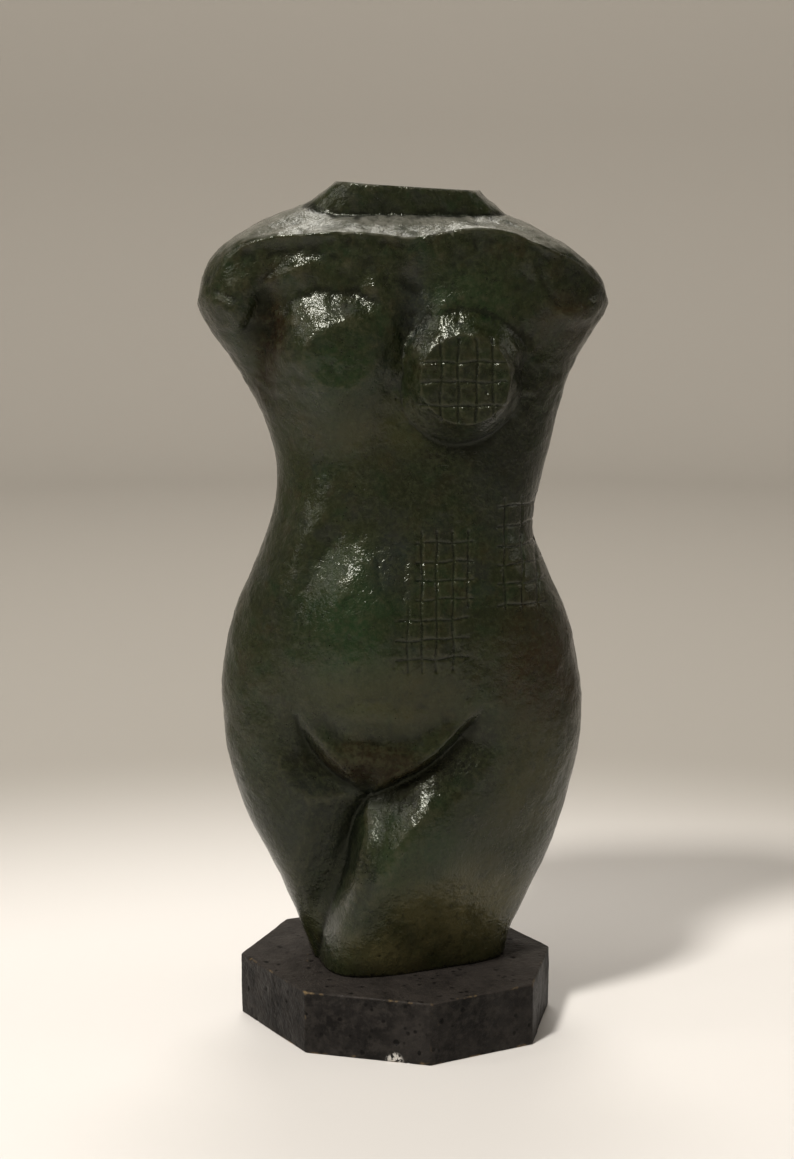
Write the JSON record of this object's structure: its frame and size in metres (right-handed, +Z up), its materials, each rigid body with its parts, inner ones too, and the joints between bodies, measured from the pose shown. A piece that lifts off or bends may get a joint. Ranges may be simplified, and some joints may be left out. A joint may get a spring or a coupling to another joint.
{
  "type": "bronze torso statue",
  "caption": "Cast bronze female torso without head or arms, green patina, scored grid patches, standing on a low eight-sided dark bronze base.",
  "frame": {"origin": "middle of the base's flat underside", "axes": "+Z up, the figure faces -Y, +X is to the viewer's right"},
  "size_m": [0.1901, 0.1499, 0.4022],
  "materials": {
    "green_patina": "cast bronze, dark green patina with brown and olive patches, waxed to a half gloss, lightly pitted",
    "dark_bronze": "cast bronze, brown-black patina with a grey bloom, pitted sides, edges rubbed back to yellow metal in places"
  },
  "bodies": {
    "root": {"torso": "green_patina", "base": "dark_bronze"}
  },
  "joints": []
}
